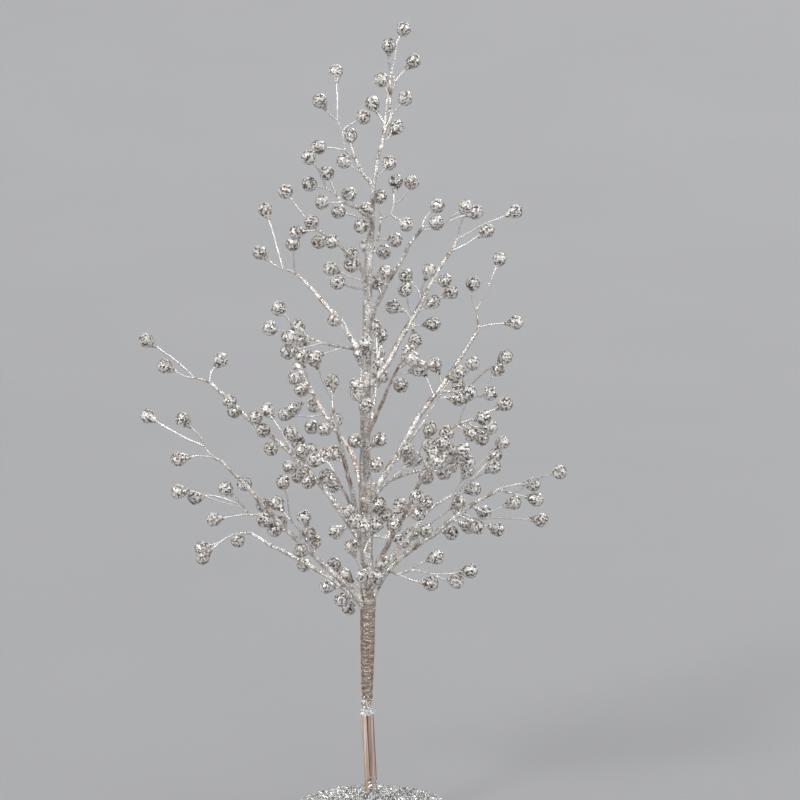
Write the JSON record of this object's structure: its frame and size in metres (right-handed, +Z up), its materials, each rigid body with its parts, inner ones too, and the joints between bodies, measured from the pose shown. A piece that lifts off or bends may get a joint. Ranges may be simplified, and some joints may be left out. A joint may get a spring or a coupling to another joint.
{
  "type": "beaded wire table-top tree",
  "caption": "Small leafless tree of silver foil-wrapped wire sprays tipped with clear faceted drop beads, on a slim trunk and a round glittered base.",
  "frame": {"origin": "centre of the base's underside, on the surface that the tree stands on", "axes": "+Z up the trunk, -Y towards the front that the picture shows, +X to the right seen from the front"},
  "size_m": [0.2357, 0.1784, 0.4568],
  "materials": {
    "silver_wire": "bright twisted wire, stems wrapped in silver foil",
    "clear_acrylic": "clear, faceted, high gloss",
    "silver_foil": "crinkled bright foil with sparkle",
    "satin_wrap": "smooth satin, pinkish silver",
    "silver_glitter": "fine silver glitter",
    "steel_rod": "plain drawn rod",
    "plaster": "matte cast",
    "grey_felt": "matte felt"
  },
  "bodies": {
    "root": {"back_low_beads": "clear_acrylic", "back_low_wires": "silver_wire", "back_mid_beads": "clear_acrylic", "back_mid_wires": "silver_wire", "base_pad": "grey_felt", "base_shell": "silver_glitter", "base_weight": "plaster", "collar_band": "silver_glitter", "foot_glue": "silver_glitter", "front_low_beads": "clear_acrylic", "front_low_wires": "silver_wire", "front_mid_beads": "clear_acrylic", "front_mid_wires": "silver_wire", "leader_beads": "clear_acrylic", "leader_wires": "silver_wire", "left_cluster_beads": "clear_acrylic", "left_cluster_wires": "silver_wire", "left_front_beads": "clear_acrylic", "left_front_wires": "silver_wire", "left_high_beads": "clear_acrylic", "left_high_wires": "silver_wire", "left_inner_beads": "clear_acrylic", "left_inner_wires": "silver_wire", "left_long_beads": "clear_acrylic", "left_long_high_beads": "clear_acrylic", "left_long_high_wires": "silver_wire", "left_long_wires": "silver_wire", "left_low_beads": "clear_acrylic", "left_low_long_beads": "clear_acrylic", "left_low_long_wires": "silver_wire", "left_low_wires": "silver_wire", "left_mid_beads": "clear_acrylic", "left_mid_wires": "silver_wire", "lower_sleeve": "satin_wrap", "right_back_beads": "clear_acrylic", "right_back_wires": "silver_wire", "right_cluster_beads": "clear_acrylic", "right_cluster_wires": "silver_wire", "right_high_beads": "clear_acrylic", "right_high_wires": "silver_wire", "right_long_beads": "clear_acrylic", "right_long_high_beads": "clear_acrylic", "right_long_high_wires": "silver_wire", "right_long_wires": "silver_wire", "right_low_beads": "clear_acrylic", "right_low_long_beads": "clear_acrylic", "right_low_long_wires": "silver_wire", "right_low_wires": "silver_wire", "right_mid_beads": "clear_acrylic", "right_mid_low_beads": "clear_acrylic", "right_mid_low_wires": "silver_wire", "right_mid_wires": "silver_wire", "top_left_beads": "clear_acrylic", "top_left_wires": "silver_wire", "trunk_core": "steel_rod", "trunk_foil": "silver_foil", "upper_left_beads": "clear_acrylic", "upper_left_wires": "silver_wire", "upper_right_beads": "clear_acrylic", "upper_right_wires": "silver_wire"}
  },
  "joints": []
}
